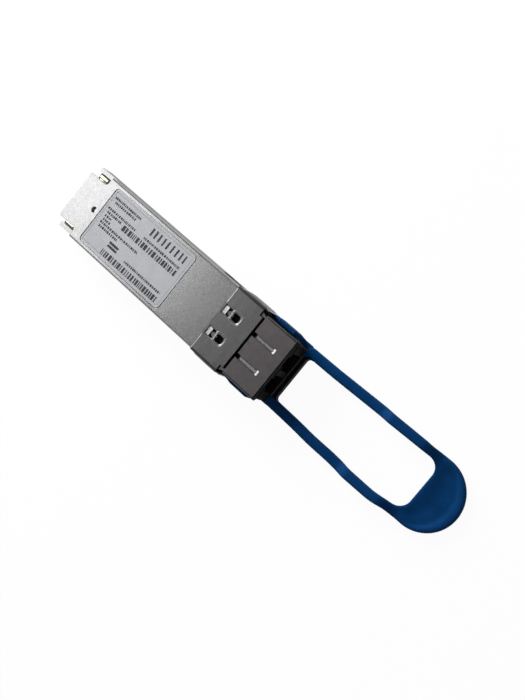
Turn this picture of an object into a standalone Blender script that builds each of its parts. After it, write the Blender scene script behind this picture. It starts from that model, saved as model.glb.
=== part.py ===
# Pluggable optical transceiver module with a duplex fibre port and a blue pull tab.
# It lies on its heat-sink face, label side up. +X runs from the card edge to the pull tab.
# The origin is the middle of the heat-sink face. All sizes are in metres.

import math

import bmesh
import bpy
from mathutils import Vector

# Body: two cast shells that meet at a split line
BODY_LENGTH = 0.0724
BODY_WIDTH = 0.01835
BODY_HEIGHT = 0.0085
SPLIT_HEIGHT = 0.0054
FLOOR = 0.0012
ROOF = 0.0012
EDGE_RADIUS = 0.0005

# Clearances
FIT = 0.00015
RUN = 0.0002
LAP = 0.0002

# Card end of the cover
TONGUE_SETBACK = 0.0004
TONGUE_WIDTH = 0.0133
NOTCH_LENGTH = 0.0065
NOTCH_RADIUS = 0.0008
PIN_SETBACK = 0.0013
PIN_DIAMETER = 0.00115
PIN_RECESS = 0.0008
BOSS_DIAMETER = 0.003
BOSS_HEIGHT = 0.0014

# Label
LABEL_SETBACK = 0.0096
LABEL_LENGTH = 0.0295
LABEL_WIDTH = 0.0157
LABEL_THICKNESS = 0.0001
LABEL_RECESS = 0.0002
LABEL_RADIUS = 0.0009

# Shield collar
COLLAR_LENGTH = 0.0098
COLLAR_SHEET = 0.0003
COLLAR_PROUD = 0.00025
COLLAR_LIFT = 0.0001
COLLAR_RADIUS = 0.0007
WINDOW_SETBACK = 0.00055
WINDOW_LENGTH = 0.0024
WINDOW_WIDTH = 0.0024
EYELET_SETBACK = 0.00355
EYELET_LENGTH = 0.0022
EYELET_WIDTH = 0.0019
EYELET_RADIUS = 0.0006
CATCH_LENGTH = 0.0012
CATCH_RISE = 0.00035
WELL_DEPTH = 0.0007
RELIEF_LENGTH = 0.001
RELIEF_WIDTH = 0.0021
RELIEF_DROP = 0.0008

# Nose and fibre port
NOSE_GAP = 0.00055
NOSE_LENGTH = 0.0097
NOSE_WALL = 0.00025
NOSE_FLOOR_HEIGHT = 0.0005
NOSE_FLOOR = 0.0008
NOSE_TOP_DROP = 0.0001
NOSE_COVER_THICKNESS = 0.0009
GROOVE_WIDTH = 0.00075
GROOVE_DEPTH = 0.00035
GROOVE_BAR_WIDTH = 0.0014
GROOVE_BAR_LENGTH = 0.00065
GROOVE_END_SETBACK = 0.0026
GROOVE_MOUTH_WIDTH = 0.0011
GROOVE_MOUTH_LENGTH = 0.0007
PORT_PITCH = 0.00625
FLANGE_THICKNESS = 0.0004
PORT_LEDGE = 0.000575
PORT_LENGTH = 0.0122
BAY_SIZE = 0.0047
BAY_DEPTH = 0.010
LATCH_SLOT_WIDTH = 0.0026
LATCH_SLOT_LENGTH = 0.0075
SLEEVE_DIAMETER = 0.0025
SLEEVE_BORE = 0.0013
SLEEVE_REACH = 0.0045

# Card and what sits on it
CARD_SETBACK = 0.0005
CARD_GAP = 0.00305
CARD_WALL = 0.001275
CARD_THICKNESS = 0.001
CARD_HEIGHT = 0.0039
CARD_LEDGE = 0.0007
CHIP_STANDOFF = 0.0001
RETIMER_SIZE = 0.010
RETIMER_THICKNESS = 0.0013
CONTROLLER_SIZE = 0.006
DRIVER_SIZE = 0.0042
CHIP_THICKNESS = 0.0009
INDUCTOR_SIZE = 0.003
INDUCTOR_HEADROOM = 0.0008
CRYSTAL_LENGTH = 0.0032
CRYSTAL_WIDTH = 0.0025
CRYSTAL_HEIGHT = 0.0007

# Optical assemblies
OPTICS_WIDTH = 0.0058
OPTICS_LENGTH = 0.0089
OPTICS_HEIGHT = 0.0048
OPTICS_LEDGE = 0.0009
BARREL_DIAMETER = 0.0034
BARREL_LENGTH = 0.0029
FLEX_WIDTH = 0.0044
FLEX_THICKNESS = 0.00012
FLEX_LAND = 0.002
PAD_GAP = 0.0001

# Latch slider
TRAVEL = 0.0025
SLIDER_SHEET = 0.00035
SLIDER_ARM_HEIGHT = 0.0022
SLIDER_ARM_BASE = 0.0024
WEDGE_LENGTH = 0.002
WEDGE_MARGIN = 0.0028
WEDGE_PROUD = 0.00015
BAR_DEPTH = 0.00105
BAR_BASE = 0.0004
BAR_THICKNESS = 0.0014
EAR_LENGTH = 0.0011
EAR_WIDTH = 0.002075
EAR_FILLET = 0.001
TANG_LENGTH = 0.0036
TANG_WIDTH = 0.0011
TANG_THICKNESS = 0.0007
LUG_LENGTH = 0.0005

# Return springs
SPRING_DIAMETER = 0.0011
SPRING_WIRE = 0.0002
SPRING_LENGTH = 0.0068
SPRING_TURNS = 7

# Pull tab
TAB_REACH = 0.0511
TAB_THICKNESS = 0.0016
TAB_BASE = 0.0006
TAB_HUMP = 0.0006
TAB_DROP = 0.0004
TAB_ARM_WIDTH = 0.0025
TAB_FLARE = 0.0001
LOOP_FLARE = 0.00045
LOOP_LENGTH = 0.0391
LOOP_RADIUS = 0.0027
BOOT_WALL = 0.000675
BOOT_LENGTH = 0.0068
BOOT_BASE = 0.0013
BOOT_HEIGHT = 0.0036
NECK_WALL = 0.000375
DISH_DEPTH = 0.0003
DISH_MARGIN = 0.002
HUMP_LENGTH = 0.011
HUMP_SETBACK = 0.0063
BEND_LENGTH = 0.0027

# Gaskets in the split line
GASKET_WIDTH = 0.0005
GASKET_HEIGHT = 0.0004

# Stations along the module
INSERTED_LENGTH = BODY_LENGTH - NOSE_LENGTH - NOSE_GAP - COLLAR_LENGTH
X_REAR = -BODY_LENGTH / 2
X_FRONT = BODY_LENGTH / 2
X_TONGUE = X_REAR + TONGUE_SETBACK
X_NOTCH = X_REAR + NOTCH_LENGTH
X_PIN = X_NOTCH + PIN_SETBACK
X_LABEL = X_REAR + LABEL_SETBACK
X_SEAM = X_REAR + INSERTED_LENGTH
X_COLLAR_FRONT = X_SEAM + COLLAR_LENGTH
X_RELIEF = X_COLLAR_FRONT - RELIEF_LENGTH
X_NOSE = X_COLLAR_FRONT + NOSE_GAP
X_CARD = X_REAR + CARD_SETBACK
X_FLANGE = X_FRONT + FIT
X_PORT_FRONT = X_FLANGE + FLANGE_THICKNESS
X_PORT_REAR = X_PORT_FRONT - PORT_LENGTH
X_BAY_REAR = X_PORT_FRONT - BAY_DEPTH
X_OPTICS_FRONT = X_PORT_REAR - FIT - BARREL_LENGTH
X_OPTICS_REAR = X_OPTICS_FRONT - OPTICS_LENGTH
X_CARD_FRONT = X_OPTICS_REAR - CARD_GAP
X_WEDGE = X_SEAM - WEDGE_MARGIN - TRAVEL - WEDGE_LENGTH
X_BAR_REAR = X_PORT_FRONT + 2 * FIT
X_BAR_FRONT = X_BAR_REAR + BAR_DEPTH
X_EAR_FRONT = X_BAR_FRONT + EAR_LENGTH
X_LUG = X_SEAM + 4 * RUN
X_SPRING_REAR = X_LUG + LUG_LENGTH + FIT
X_SPRING_STOP = X_SPRING_REAR + SPRING_LENGTH + FIT
X_TAB_TIP = X_FRONT + TAB_REACH
X_LOOP_FRONT = X_BAR_FRONT + LOOP_LENGTH

# Distances from the middle plane
Y_BODY = BODY_WIDTH / 2
Y_COLLAR = Y_BODY + COLLAR_PROUD
Y_WAIST = Y_COLLAR - COLLAR_SHEET - FIT
Y_ARM_OUT = Y_COLLAR - COLLAR_SHEET - RUN
Y_ARM_IN = Y_ARM_OUT - SLIDER_SHEET
Y_CHANNEL = Y_ARM_IN - RUN
Y_NOSE_IN = Y_CHANNEL - NOSE_WALL
Y_NOSE_COVER = Y_NOSE_IN - FIT
Y_RELIEF = Y_COLLAR - RELIEF_WIDTH
Y_CARD = Y_BODY - CARD_WALL
Y_CARD_BAY = Y_CARD + FIT
Y_PORT = Y_NOSE_IN - PORT_LEDGE
Y_PORT_BAY = Y_PORT + FIT
Y_OPTICS_BAY = Y_CARD - OPTICS_LEDGE
Y_FIBRE = PORT_PITCH / 2
Y_SPRING = Y_WAIST - FIT - SPRING_DIAMETER / 2
Y_SPRING_POCKET = Y_SPRING - SPRING_DIAMETER / 2 - FIT
Y_EAR_OUT = Y_CHANNEL - FIT
Y_EAR = Y_EAR_OUT - EAR_WIDTH
Y_BOOT_IN = Y_ARM_OUT + FIT
Y_BOOT = Y_BOOT_IN + BOOT_WALL
Y_NECK = Y_ARM_OUT + NECK_WALL
Y_LOOP = Y_EAR
Y_LOOP_WIDEST = Y_LOOP + LOOP_FLARE
Y_TAB = Y_LOOP + TAB_ARM_WIDTH
Y_TAB_WIDEST = Y_TAB + TAB_FLARE
Y_GASKET = (Y_CARD_BAY + Y_BODY) / 2

# Heights
Z_COVER = SPLIT_HEIGHT + FIT
Z_ROOF = BODY_HEIGHT - ROOF
Z_COLLAR_TOP = BODY_HEIGHT + COLLAR_PROUD
Z_WAIST_TOP = Z_COLLAR_TOP - COLLAR_SHEET - FIT
Z_WAIST_FLOOR = COLLAR_LIFT + COLLAR_SHEET + FIT
Z_NOSE_TOP = BODY_HEIGHT - NOSE_TOP_DROP
Z_NOSE_COVER = Z_NOSE_TOP - NOSE_COVER_THICKNESS
Z_NOSE_LEDGE = Z_NOSE_COVER - FIT
Z_PORT_SEAT = NOSE_FLOOR_HEIGHT + NOSE_FLOOR
Z_PORT = Z_PORT_SEAT + FIT
Z_PORT_TOP = Z_NOSE_LEDGE
Z_FIBRE = (Z_PORT + Z_PORT_TOP) / 2
Z_CARD_TOP = CARD_HEIGHT + CARD_THICKNESS
Z_LABEL = BODY_HEIGHT - LABEL_RECESS + LABEL_THICKNESS / 2
INDUCTOR_HEIGHT = Z_ROOF - INDUCTOR_HEADROOM - Z_CARD_TOP - CHIP_STANDOFF
Z_ARM = SLIDER_ARM_BASE
Z_ARM_TOP = Z_ARM + SLIDER_ARM_HEIGHT
Z_BAR_TOP = BAR_BASE + BAR_THICKNESS
Z_SPRING = Z_ARM - FIT - SPRING_DIAMETER / 2
Z_TANG = TAB_BASE + (TAB_THICKNESS - TANG_THICKNESS) / 2
Z_BOOT_TOP = BOOT_BASE + BOOT_HEIGHT
Z_TAB_TOP = TAB_BASE + TAB_THICKNESS

SIDES = (("left", 1), ("right", -1))
CHANNELS = (("transmit", 1), ("receive", -1))

for old in list(bpy.data.objects):
    bpy.data.objects.remove(old)


def collection(name):
    made = bpy.data.collections.new(name)
    bpy.context.scene.collection.children.link(made)
    return made


PARTS = collection("optical_transceiver_module")
TOOLS = collection("cutters")


def material(name, colour, roughness, metallic=0.0):
    made = bpy.data.materials.new(name)
    made.use_nodes = True
    shader = made.node_tree.nodes["Principled BSDF"]
    shader.inputs["Base Color"].default_value = (*colour, 1.0)
    shader.inputs["Roughness"].default_value = roughness
    shader.inputs["Metallic"].default_value = metallic
    return made


CAST = material("die_cast_zinc", (0.62, 0.62, 0.63), 0.45, 1.0)
SHEET = material("shield_sheet", (0.42, 0.42, 0.43), 0.3, 1.0)
NOSE = material("nose_metal", (0.30, 0.28, 0.28), 0.35, 1.0)
BLACK = material("black_plastic", (0.012, 0.012, 0.014), 0.5)
BLACK_METAL = material("black_coated_steel", (0.02, 0.02, 0.022), 0.5, 0.3)
BLUE = material("blue_elastomer", (0.012, 0.055, 0.16), 0.5)
LABEL = material("silver_label", (0.55, 0.55, 0.58), 0.4)
BOARD = material("green_board", (0.02, 0.09, 0.05), 0.5)
CHIP = material("chip_package", (0.03, 0.03, 0.032), 0.5)
STEEL = material("steel", (0.6, 0.6, 0.62), 0.3, 1.0)
CERAMIC = material("white_ceramic", (0.8, 0.79, 0.76), 0.35)
FLEX = material("amber_film", (0.35, 0.16, 0.03), 0.4)
PAD = material("gap_pad", (0.35, 0.36, 0.38), 0.8)
GASKET = material("gasket", (0.12, 0.12, 0.12), 0.8)


def add_object(name, data, finish=None):
    """Put a mesh or curve in the scene, as a part if it has a finish and as a cutter if not."""
    made = bpy.data.objects.new(name, data)
    if finish is None:
        TOOLS.objects.link(made)
        made.hide_render = True
        made.display_type = "WIRE"
    else:
        PARTS.objects.link(made)
        data.materials.append(finish)
    return made


def mesh_object(name, shape, finish=None):
    mesh = bpy.data.meshes.new(name)
    shape.to_mesh(mesh)
    shape.free()
    return add_object(name, mesh, finish)


def block(name, low, high, finish=None, along=None, radius=0.0, only=None):
    """A box between two corners, with the edges along one axis rounded where asked."""
    shape = bmesh.new()
    low, high = Vector(low), Vector(high)
    corners = bmesh.ops.create_cube(shape, size=1.0)["verts"]
    bmesh.ops.scale(shape, vec=high - low, verts=corners)
    bmesh.ops.translate(shape, vec=(low + high) / 2, verts=corners)
    if along is not None:
        chosen = []
        for edge in shape.edges:
            run = edge.verts[1].co - edge.verts[0].co
            middle = (edge.verts[0].co + edge.verts[1].co) / 2
            if abs(run[along]) > 0.9 * run.length and (only is None or only(middle)):
                chosen.append(edge)
        bmesh.ops.bevel(shape, geom=chosen, offset=radius, segments=3, profile=0.5,
                        affect="EDGES", material=-1, clamp_overlap=True)
    return mesh_object(name, shape, finish)


def side_block(name, side, low, high, finish=None, **rounding):
    """A box given for the +Y side, or its mirror image on the other side."""
    if side < 0:
        low, high = (low[0], -high[1], low[2]), (high[0], -low[1], high[2])
    return block(name, low, high, finish, **rounding)


def rod(name, start, end, diameter, finish=None, sides=24):
    """A straight round bar between two points."""
    shape = bmesh.new()
    start, end = Vector(start), Vector(end)
    turn = (end - start).to_track_quat("Z", "Y").to_matrix()
    made = bmesh.ops.create_cone(shape, cap_ends=True, segments=sides, radius1=diameter / 2,
                                 radius2=diameter / 2, depth=(end - start).length)["verts"]
    bmesh.ops.rotate(shape, verts=made, matrix=turn)
    bmesh.ops.translate(shape, verts=made, vec=(start + end) / 2)
    for face in shape.faces:
        face.smooth = len(face.verts) == 4
    return mesh_object(name, shape, finish)


def plate(name, outline, low, high, finish=None):
    """A flat outline in plan, filled and given its thickness, as a mesh."""
    curve = bpy.data.curves.new(name, "CURVE")
    curve.dimensions = "2D"
    curve.fill_mode = "BOTH"
    curve.extrude = (high - low) / 2
    line = curve.splines.new("POLY")
    line.points.add(len(outline) - 1)
    for point, (x, y) in zip(line.points, outline):
        point.co = (x, y, 0.0, 1.0)
    line.use_cyclic_u = True
    drawn = bpy.data.objects.new(name + "_outline", curve)
    TOOLS.objects.link(drawn)
    drawn.location.z = (low + high) / 2
    bpy.context.view_layer.update()
    graph = bpy.context.evaluated_depsgraph_get()
    mesh = bpy.data.meshes.new_from_object(drawn.evaluated_get(graph))
    mesh.transform(drawn.matrix_world)
    bpy.data.objects.remove(drawn)
    shape = bmesh.new()
    shape.from_mesh(mesh)
    bpy.data.meshes.remove(mesh)
    bmesh.ops.remove_doubles(shape, verts=shape.verts, dist=1e-6)
    bmesh.ops.recalc_face_normals(shape, faces=shape.faces)
    return mesh_object(name, shape, finish)


def combine(target, tool, operation):
    step = target.modifiers.new(tool.name, "BOOLEAN")
    step.operation = operation
    step.object = tool


def cut(target, tool):
    combine(target, tool, "DIFFERENCE")


def join(target, tool):
    combine(target, tool, "UNION")


def smooth_step(x, start, end):
    share = min(max((x - start) / (end - start), 0.0), 1.0)
    return share * share * (3 - 2 * share)


# Heat-sink side shell: a tray with ledges for the card, a waist under the collar and the nose
base = block("housing_base", (X_REAR, -Y_BODY, 0), (X_SEAM, Y_BODY, SPLIT_HEIGHT), CAST,
             along=0, radius=EDGE_RADIUS, only=lambda middle: middle.z < SPLIT_HEIGHT / 2)
join(base, block("base_waist", (X_SEAM - LAP, -Y_WAIST, Z_WAIST_FLOOR),
                 (X_COLLAR_FRONT, Y_WAIST, SPLIT_HEIGHT)))
join(base, block("base_nose", (X_COLLAR_FRONT - LAP, -Y_CHANNEL, NOSE_FLOOR_HEIGHT),
                 (X_FRONT, Y_CHANNEL, SPLIT_HEIGHT)))
join(base, block("base_nose_walls", (X_NOSE, -Y_CHANNEL, SPLIT_HEIGHT - LAP),
                 (X_FRONT, Y_CHANNEL, Z_NOSE_TOP)))
cut(base, block("card_bay", (X_REAR - LAP, -Y_CARD_BAY, CARD_HEIGHT - FIT),
                (X_CARD_FRONT + FIT, Y_CARD_BAY, SPLIT_HEIGHT + LAP)))
cut(base, block("under_card_bay", (X_REAR - LAP, -Y_CARD + CARD_LEDGE, FLOOR),
                (X_CARD_FRONT + FIT, Y_CARD - CARD_LEDGE, SPLIT_HEIGHT + LAP)))
cut(base, block("optics_bay", (X_CARD_FRONT, -Y_OPTICS_BAY, FLOOR),
                (X_PORT_REAR, Y_OPTICS_BAY, SPLIT_HEIGHT + LAP)))
cut(base, block("port_bay", (X_PORT_REAR - FIT, -Y_PORT_BAY, Z_PORT_SEAT),
                (X_FRONT + LAP, Y_PORT_BAY, Z_NOSE_TOP + LAP)))
cut(base, block("nose_cover_seat", (X_NOSE - LAP, -Y_NOSE_IN, Z_NOSE_LEDGE),
                (X_FRONT + LAP, Y_NOSE_IN, Z_NOSE_TOP + LAP)))
join(base, rod("pin_boss", (X_PIN, 0, FLOOR / 2), (X_PIN, 0, FLOOR + BOSS_HEIGHT), BOSS_DIAMETER))
cut(base, rod("pin_socket", (X_PIN, 0, FLOOR / 2 + LAP), (X_PIN, 0, BODY_HEIGHT), PIN_DIAMETER + 2 * FIT))
for name, side in SIDES:
    cut(base, side_block("slider_channel_" + name, side, (X_WEDGE - RUN, Y_CHANNEL, Z_ARM - RUN),
                         (X_COLLAR_FRONT + LAP, Y_BODY + LAP, Z_ARM_TOP + RUN)))
    cut(base, side_block("spring_pocket_" + name, side,
                         (X_LUG - FIT, Y_SPRING_POCKET, Z_SPRING - SPRING_DIAMETER / 2 - FIT),
                         (X_SPRING_STOP, Y_BODY + LAP, Z_ARM + 2 * LAP + FIT)))
    cut(base, side_block("gasket_groove_" + name, side,
                         (X_NOTCH, Y_GASKET - GASKET_WIDTH / 2 - FIT, SPLIT_HEIGHT - GASKET_HEIGHT),
                         (X_WEDGE, Y_GASKET + GASKET_WIDTH / 2 + FIT, SPLIT_HEIGHT + LAP)))

# Label side shell: a lid with a tongue over the card edge
cover = block("housing_cover", (X_TONGUE, -Y_BODY, Z_COVER), (X_SEAM, Y_BODY, BODY_HEIGHT), CAST,
              along=0, radius=EDGE_RADIUS, only=lambda middle: middle.z > Z_ROOF)
join(cover, block("cover_waist", (X_SEAM - LAP, -Y_WAIST, Z_COVER),
                  (X_COLLAR_FRONT, Y_WAIST, Z_WAIST_TOP)))
cut(cover, block("cover_bay", (X_REAR - LAP, -Y_PORT_BAY, Z_COVER - LAP),
                 (X_COLLAR_FRONT + LAP, Y_PORT_BAY, Z_ROOF)))
for name, side in SIDES:
    cut(cover, side_block("notch_" + name, side, (X_REAR - NOTCH_RADIUS, TONGUE_WIDTH / 2, Z_COVER - LAP),
                          (X_NOTCH, Y_BODY + NOTCH_RADIUS, BODY_HEIGHT + LAP),
                          along=2, radius=NOTCH_RADIUS))
cut(cover, block("label_recess", (X_LABEL - FIT, -LABEL_WIDTH / 2 - FIT, BODY_HEIGHT - LABEL_RECESS),
                 (X_LABEL + LABEL_LENGTH + FIT, LABEL_WIDTH / 2 + FIT, BODY_HEIGHT + LAP),
                 along=2, radius=LABEL_RADIUS))
cut(cover, rod("pin_hole", (X_PIN, 0, Z_COVER), (X_PIN, 0, BODY_HEIGHT + LAP), PIN_DIAMETER + 2 * FIT))
for name, side in CHANNELS:
    x_catch = X_SEAM + WINDOW_SETBACK + FIT
    x_well = x_catch + CATCH_LENGTH
    x_eyelet = X_SEAM + EYELET_SETBACK
    y_catch = side * Y_FIBRE
    half = WINDOW_WIDTH / 2 - FIT
    half_eyelet = EYELET_WIDTH / 2
    join(cover, block("catch_" + name, (x_catch, y_catch - half, Z_WAIST_TOP - LAP),
                      (x_well, y_catch + half, Z_WAIST_TOP + CATCH_RISE)))
    cut(cover, block("catch_well_" + name, (x_well, y_catch - half, Z_WAIST_TOP - WELL_DEPTH),
                     (X_SEAM + WINDOW_SETBACK + WINDOW_LENGTH, y_catch + half, Z_COLLAR_TOP)))
    cut(cover, block("eyelet_well_" + name, (x_eyelet, y_catch - half_eyelet, Z_WAIST_TOP - WELL_DEPTH),
                     (x_eyelet + EYELET_LENGTH, y_catch + half_eyelet, Z_COLLAR_TOP),
                     along=2, radius=EYELET_RADIUS))
for name, side in SIDES:
    cut(cover, side_block("ear_seat_" + name, side, (X_RELIEF, Y_RELIEF, Z_NOSE_LEDGE),
                          (X_COLLAR_FRONT + LAP, Y_BODY + LAP, Z_COLLAR_TOP)))

block("label_plate", (X_LABEL, -LABEL_WIDTH / 2, Z_LABEL),
      (X_LABEL + LABEL_LENGTH, LABEL_WIDTH / 2, Z_LABEL + LABEL_THICKNESS),
      LABEL, along=2, radius=LABEL_RADIUS)

rod("locating_pin", (X_PIN, 0, FLOOR / 2 + LAP + FIT), (X_PIN, 0, BODY_HEIGHT - PIN_RECESS),
    PIN_DIAMETER, STEEL)

for name, side in SIDES:
    side_block("gasket_" + name, side,
               (X_NOTCH + FIT, Y_GASKET - GASKET_WIDTH / 2, SPLIT_HEIGHT - GASKET_HEIGHT + FIT),
               (X_WEDGE - FIT, Y_GASKET + GASKET_WIDTH / 2, SPLIT_HEIGHT), GASKET)

# Shield collar: a sheet-metal band round the waist, with a catch window and an eyelet on each channel
collar = block("emi_collar", (X_SEAM + FIT, -Y_COLLAR, COLLAR_LIFT),
               (X_COLLAR_FRONT, Y_COLLAR, Z_COLLAR_TOP), SHEET, along=0, radius=COLLAR_RADIUS)
cut(collar, block("collar_bore", (X_SEAM - LAP, -Y_COLLAR + COLLAR_SHEET, COLLAR_LIFT + COLLAR_SHEET),
                  (X_COLLAR_FRONT + LAP, Y_COLLAR - COLLAR_SHEET, Z_COLLAR_TOP - COLLAR_SHEET),
                  along=0, radius=COLLAR_RADIUS - COLLAR_SHEET))
for name, side in CHANNELS:
    y_window = side * Y_FIBRE
    x_window = X_SEAM + WINDOW_SETBACK
    x_eyelet = X_SEAM + EYELET_SETBACK
    cut(collar, block("window_" + name, (x_window, y_window - WINDOW_WIDTH / 2, Z_WAIST_TOP),
                      (x_window + WINDOW_LENGTH, y_window + WINDOW_WIDTH / 2, Z_COLLAR_TOP + LAP)))
    cut(collar, block("eyelet_" + name, (x_eyelet, y_window - EYELET_WIDTH / 2, Z_WAIST_TOP),
                      (x_eyelet + EYELET_LENGTH, y_window + EYELET_WIDTH / 2, Z_COLLAR_TOP + LAP),
                      along=2, radius=EYELET_RADIUS))
for name, side in SIDES:
    cut(collar, side_block("corner_relief_" + name, side,
                           (X_RELIEF, Y_RELIEF, Z_COLLAR_TOP - RELIEF_DROP),
                           (X_COLLAR_FRONT + LAP, Y_COLLAR + LAP, Z_COLLAR_TOP + LAP)))

# Nose cover: a plate between the nose walls, with a T-shaped groove over each fibre bay.
# An ear at each rear corner reaches into the collar's corner relief.
nose_cover = block("nose_cover", (X_NOSE, -Y_NOSE_COVER, Z_NOSE_COVER),
                   (X_FRONT, Y_NOSE_COVER, Z_NOSE_TOP), NOSE)
for name, side in SIDES:
    join(nose_cover, side_block("nose_ear_" + name, side,
                                (X_RELIEF + FIT, Y_RELIEF + FIT, Z_NOSE_COVER + FIT),
                                (X_NOSE + LAP, Y_NOSE_COVER - FIT, Z_NOSE_TOP)))
x_bar_end = X_FRONT - GROOVE_END_SETBACK
for name, side in CHANNELS:
    y_groove = side * Y_FIBRE
    floor = Z_NOSE_TOP - GROOVE_DEPTH
    cut(nose_cover, block("groove_" + name, (X_NOSE - LAP, y_groove - GROOVE_WIDTH / 2, floor),
                          (x_bar_end - LAP, y_groove + GROOVE_WIDTH / 2, Z_NOSE_TOP + LAP)))
    cut(nose_cover, block("groove_bar_" + name,
                          (x_bar_end - GROOVE_BAR_LENGTH, y_groove - GROOVE_BAR_WIDTH / 2, floor),
                          (x_bar_end, y_groove + GROOVE_BAR_WIDTH / 2, Z_NOSE_TOP + LAP)))
    cut(nose_cover, block("groove_mouth_" + name,
                          (X_NOSE - LAP, y_groove - GROOVE_MOUTH_WIDTH / 2, Z_NOSE_COVER - LAP),
                          (X_NOSE + GROOVE_MOUTH_LENGTH, y_groove + GROOVE_MOUTH_WIDTH / 2,
                           Z_NOSE_TOP + LAP)))

# Fibre port: a moulded block with two bays, a latch slot over each and a bore for each sleeve.
# Its flange covers the front end of the nose.
port = block("lc_receptacle", (X_PORT_REAR, -Y_PORT, Z_PORT), (X_PORT_FRONT, Y_PORT, Z_PORT_TOP - FIT), BLACK)
join(port, block("port_flange", (X_FLANGE, -Y_CHANNEL, NOSE_FLOOR_HEIGHT),
                 (X_PORT_FRONT - FIT, Y_CHANNEL, Z_NOSE_TOP)))
for name, side in CHANNELS:
    y_bay = side * Y_FIBRE
    cut(port, block("bay_" + name, (X_BAY_REAR, y_bay - BAY_SIZE / 2, Z_FIBRE - BAY_SIZE / 2),
                    (X_PORT_FRONT + LAP, y_bay + BAY_SIZE / 2, Z_FIBRE + BAY_SIZE / 2)))
    cut(port, block("latch_slot_" + name,
                    (X_PORT_FRONT - LATCH_SLOT_LENGTH, y_bay - LATCH_SLOT_WIDTH / 2, Z_FIBRE),
                    (X_PORT_FRONT + LAP, y_bay + LATCH_SLOT_WIDTH / 2, Z_PORT_TOP + LAP)))
    cut(port, rod("sleeve_bore_" + name, (X_PORT_REAR - LAP, y_bay, Z_FIBRE),
                  (X_BAY_REAR + LAP, y_bay, Z_FIBRE), SLEEVE_DIAMETER + 2 * FIT))
    sleeve = rod("sleeve_" + name, (X_PORT_REAR + FIT, y_bay, Z_FIBRE),
                 (X_BAY_REAR + SLEEVE_REACH, y_bay, Z_FIBRE), SLEEVE_DIAMETER, CERAMIC)
    cut(sleeve, rod("ferrule_bore_" + name, (X_PORT_REAR, y_bay, Z_FIBRE),
                    (X_BAY_REAR + SLEEVE_REACH + LAP, y_bay, Z_FIBRE), SLEEVE_BORE, sides=16))

# Optical assemblies: a box with a round barrel that meets the port, on a gap pad
for name, side in CHANNELS:
    y_axis = side * Y_FIBRE
    low = Z_FIBRE - OPTICS_HEIGHT / 2
    optics = block(name + "_optics", (X_OPTICS_REAR, y_axis - OPTICS_WIDTH / 2, low),
                   (X_OPTICS_FRONT, y_axis + OPTICS_WIDTH / 2, low + OPTICS_HEIGHT), STEEL)
    join(optics, rod("barrel_" + name, (X_OPTICS_FRONT - LAP, y_axis, Z_FIBRE),
                     (X_PORT_REAR - FIT, y_axis, Z_FIBRE), BARREL_DIAMETER))
    block("thermal_pad_" + name, (X_OPTICS_REAR, y_axis - OPTICS_WIDTH / 2, FLOOR + PAD_GAP),
          (X_OPTICS_FRONT, y_axis + OPTICS_WIDTH / 2, low - PAD_GAP), PAD)

# Card with a hole for the locating pin
card = block("paddle_card", (X_CARD, -Y_CARD, CARD_HEIGHT), (X_CARD_FRONT, Y_CARD, Z_CARD_TOP), BOARD)
cut(card, rod("card_hole", (X_PIN, 0, FLOOR), (X_PIN, 0, BODY_HEIGHT), PIN_DIAMETER + 2 * FIT))


def chip(name, x, y, length, width, height, finish, below=False):
    """A package on the upper or lower face of the card, at a distance from the card's front end."""
    x += X_CARD_FRONT
    low = CARD_HEIGHT - CHIP_STANDOFF - height if below else Z_CARD_TOP + CHIP_STANDOFF
    return block(name, (x - length / 2, y - width / 2, low),
                 (x + length / 2, y + width / 2, low + height), finish)


FRONT_ROW = -(FLEX_LAND + DRIVER_SIZE / 2 + 4 * FIT)
MIDDLE_ROW = FRONT_ROW - DRIVER_SIZE / 2 - RETIMER_SIZE
REAR_ROW = MIDDLE_ROW - CONTROLLER_SIZE
chip("driver_chip", FRONT_ROW, Y_FIBRE, DRIVER_SIZE, DRIVER_SIZE, CHIP_THICKNESS, CHIP)
chip("amplifier_chip", FRONT_ROW, -Y_FIBRE, DRIVER_SIZE, DRIVER_SIZE, CHIP_THICKNESS, CHIP)
chip("controller_chip", MIDDLE_ROW, 0, CONTROLLER_SIZE, CONTROLLER_SIZE, CHIP_THICKNESS, CHIP)
chip("power_inductor", REAR_ROW, Y_FIBRE, INDUCTOR_SIZE, INDUCTOR_SIZE, INDUCTOR_HEIGHT, CHIP)
chip("clock_crystal", REAR_ROW, -Y_FIBRE, CRYSTAL_LENGTH, CRYSTAL_WIDTH, CRYSTAL_HEIGHT, STEEL)
chip("retimer_chip", MIDDLE_ROW, 0, RETIMER_SIZE, RETIMER_SIZE, RETIMER_THICKNESS, CHIP, below=True)
x_retimer = X_CARD_FRONT + MIDDLE_ROW
block("thermal_pad_retimer", (x_retimer - RETIMER_SIZE / 2, -RETIMER_SIZE / 2, FLOOR + PAD_GAP),
      (x_retimer + RETIMER_SIZE / 2, RETIMER_SIZE / 2,
       CARD_HEIGHT - CHIP_STANDOFF - RETIMER_THICKNESS - PAD_GAP), PAD)

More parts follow.
